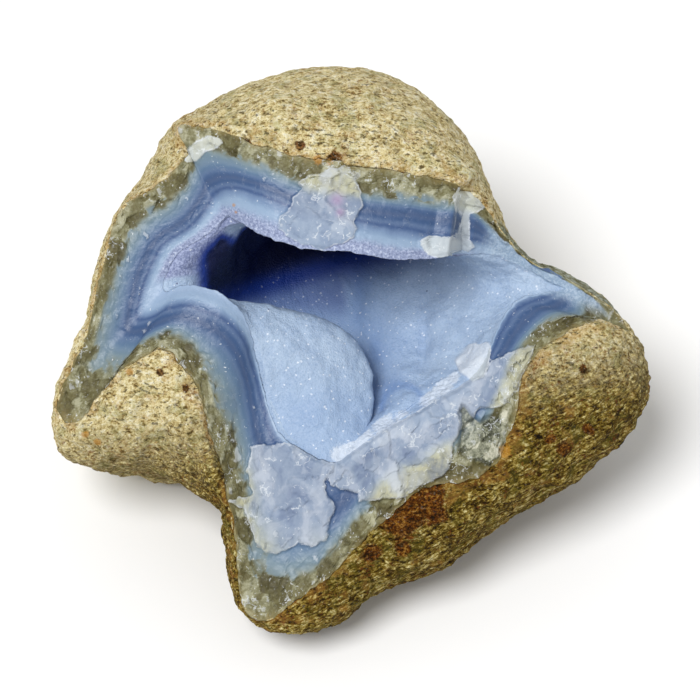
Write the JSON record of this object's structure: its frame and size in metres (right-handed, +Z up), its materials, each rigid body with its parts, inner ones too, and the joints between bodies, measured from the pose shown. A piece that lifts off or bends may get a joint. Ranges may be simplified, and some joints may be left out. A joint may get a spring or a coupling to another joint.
{
  "type": "blue lace agate geode",
  "caption": "Broken-open agate nodule with a rough rind, banded blue walls and a hollow lined with fine crystals, lying on its rounded back.",
  "frame": {"origin": "middle of the flat spot that the stone rests on", "axes": "+Z up, -Y toward the side that the broken face and the hollow's mouth look out of, +X to the right seen from that side"},
  "size_m": [0.1078, 0.097, 0.0715],
  "materials": {
    "agate_and_rind": "rough olive-tan rind outside, broken waxy chalcedony banded in blue and grey inside",
    "blue_druse": "sugar-fine sparkling crystals, pale blue"
  },
  "bodies": {
    "root": {"geode_stone": "agate_and_rind", "druzy_crust": "blue_druse"}
  },
  "joints": []
}
